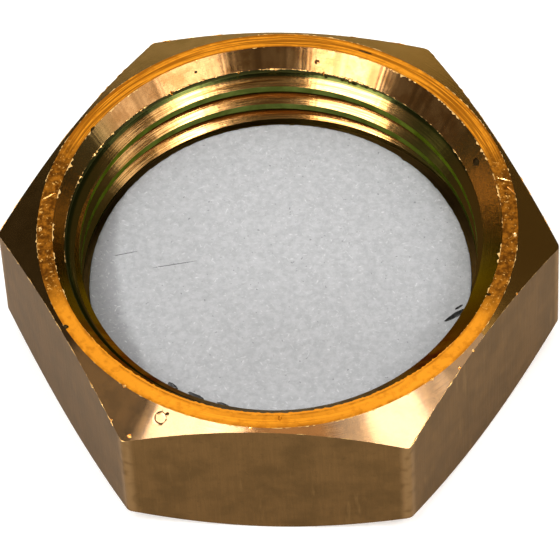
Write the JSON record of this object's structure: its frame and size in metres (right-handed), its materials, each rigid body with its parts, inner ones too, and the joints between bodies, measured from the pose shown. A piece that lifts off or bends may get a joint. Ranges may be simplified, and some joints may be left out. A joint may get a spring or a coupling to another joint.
{
  "type": "pipe end cap",
  "caption": "Hexagonal brass cap, closed at one end and threaded inside, with a loose fibre sealing disc on its seat.",
  "frame": {"origin": "centre of the flat underside of the closed end", "axes": "+Z along the thread's axis and out of the mouth, X through two corners of the hexagon, Y square to two of its flats"},
  "size_m": [0.0346, 0.03, 0.0108],
  "materials": {
    "brass": "satin",
    "fibre": "matte"
  },
  "bodies": {
    "root": {"cap_body": "brass", "sealing_disc": "fibre"}
  },
  "joints": []
}
